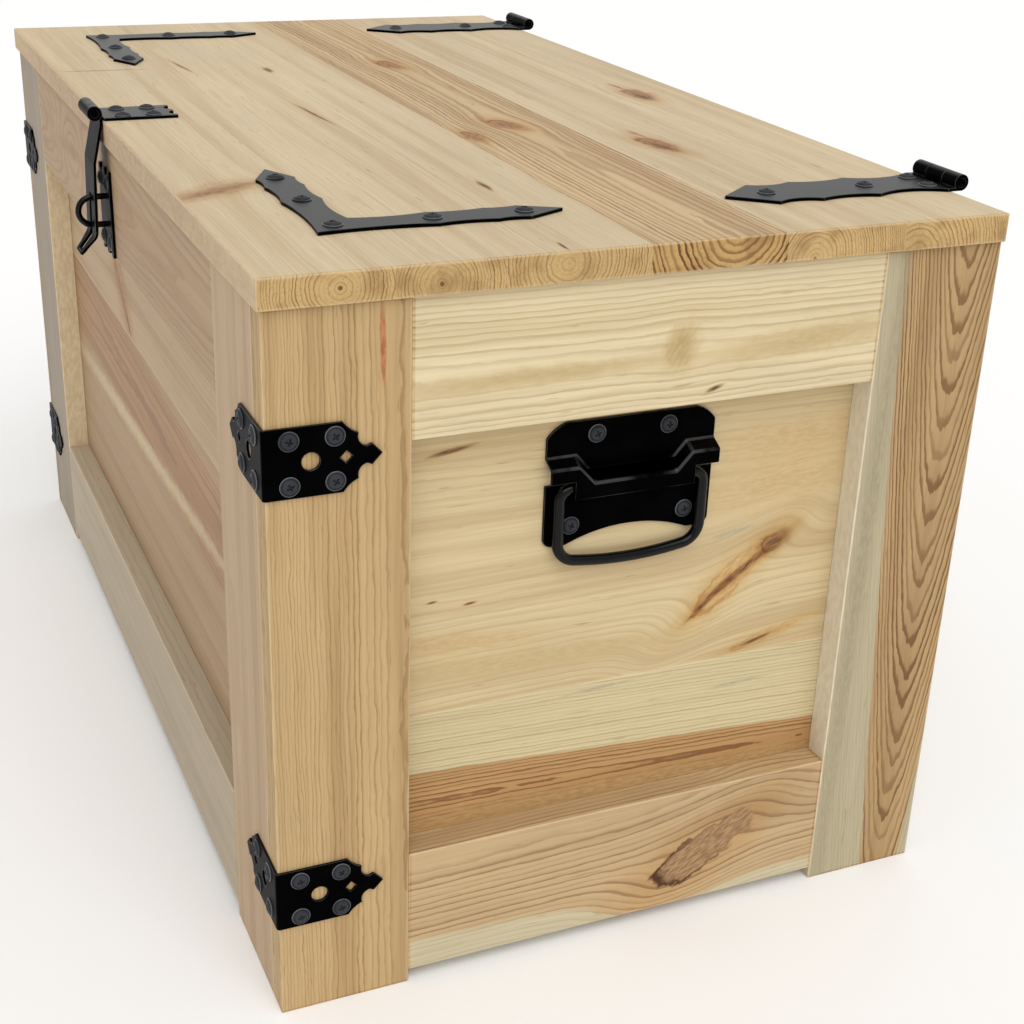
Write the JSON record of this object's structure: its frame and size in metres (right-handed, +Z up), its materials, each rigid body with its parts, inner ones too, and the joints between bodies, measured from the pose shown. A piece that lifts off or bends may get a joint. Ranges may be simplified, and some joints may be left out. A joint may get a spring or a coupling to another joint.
{
  "type": "wooden storage bin",
  "caption": "Pine storage chest with framed walls, a hinged lid of edge-glued boards, black iron corner brackets, strap hinges, a hasp with staple and a drop handle on each end.",
  "frame": {"origin": "on the floor under the middle of the whole object's box", "axes": "+X along the length to the right end seen from the front, -Y to the front with the hasp, +Z up"},
  "size_m": [0.9, 0.5374, 0.5187],
  "materials": {
    "pine_frame": "bare planed",
    "pine_planks": "bare planed",
    "pine_lid": "bare planed",
    "pine_lid_heartwood": "bare planed",
    "pine_inside": "bare planed",
    "black_iron": "satin black",
    "screws": "satin black"
  },
  "bodies": {
    "chest": {"back_bottom_rail": "pine_frame", "back_left_stile": "pine_frame", "back_lower_plank": "pine_planks", "back_middle_plank": "pine_planks", "back_right_stile": "pine_frame", "back_top_rail": "pine_frame", "back_upper_plank": "pine_planks", "bracket_screws": "screws", "case_screws": "screws", "floor_boards": "pine_inside", "floor_cleats": "pine_inside", "front_bottom_rail": "pine_frame", "front_left_stile": "pine_frame", "front_lower_plank": "pine_planks", "front_middle_plank": "pine_planks", "front_right_stile": "pine_frame", "front_top_rail": "pine_frame", "front_upper_plank": "pine_planks", "left_end_back_stile": "pine_frame", "left_end_bottom_rail": "pine_frame", "left_end_front_stile": "pine_frame", "left_end_lower_plank": "pine_planks", "left_end_middle_plank": "pine_planks", "left_end_top_rail": "pine_frame", "left_end_upper_plank": "pine_planks", "left_handle_plate": "black_iron", "left_hinge_leaf": "black_iron", "left_lower_bracket": "black_iron", "left_upper_bracket": "black_iron", "right_end_back_stile": "pine_frame", "right_end_bottom_rail": "pine_frame", "right_end_front_stile": "pine_frame", "right_end_lower_plank": "pine_planks", "right_end_middle_plank": "pine_planks", "right_end_top_rail": "pine_frame", "right_end_upper_plank": "pine_planks", "right_handle_plate": "black_iron", "right_hinge_leaf": "black_iron", "right_lower_bracket": "black_iron", "right_upper_bracket": "black_iron", "staple": "black_iron", "staple_plate": "black_iron"},
    "lid": {"hasp_leaf": "black_iron", "hasp_pin": "black_iron", "hinge_pins": "black_iron", "left_hinge_strap": "black_iron", "left_lid_plate": "black_iron", "lid_battens": "pine_inside", "lid_board_1": "pine_lid", "lid_board_2": "pine_lid", "lid_board_3": "pine_lid", "lid_board_4": "pine_lid_heartwood", "lid_board_5": "pine_lid", "lid_board_6": "pine_lid", "lid_screws": "screws", "right_hinge_strap": "black_iron", "right_lid_plate": "black_iron"},
    "hasp": {"hasp_arm": "black_iron"},
    "right_bail": {"right_handle_bail": "black_iron"},
    "left_bail": {"left_handle_bail": "black_iron"}
  },
  "joints": [
    {"name": "lid_hinge", "type": "hinge", "parent": "chest", "child": "lid", "pos_m": [0, 0.263, 0.51306], "axis": [-1, 0, 0], "range_deg": [0, 110]},
    {"name": "hasp_swing", "type": "hinge", "parent": "lid", "child": "hasp", "pos_m": [0, -0.25166, 0.51306], "axis": [-1, 0, 0], "range_deg": [0, 264]},
    {"name": "right_bail_swing", "type": "hinge", "parent": "chest", "child": "right_bail", "pos_m": [0.431, 0.00234, 0.3473], "axis": [0, -1, 0], "range_deg": [0, 112]},
    {"name": "left_bail_swing", "type": "hinge", "parent": "chest", "child": "left_bail", "pos_m": [-0.431, 0.00234, 0.3473], "axis": [0, 1, 0], "range_deg": [0, 112]}
  ]
}
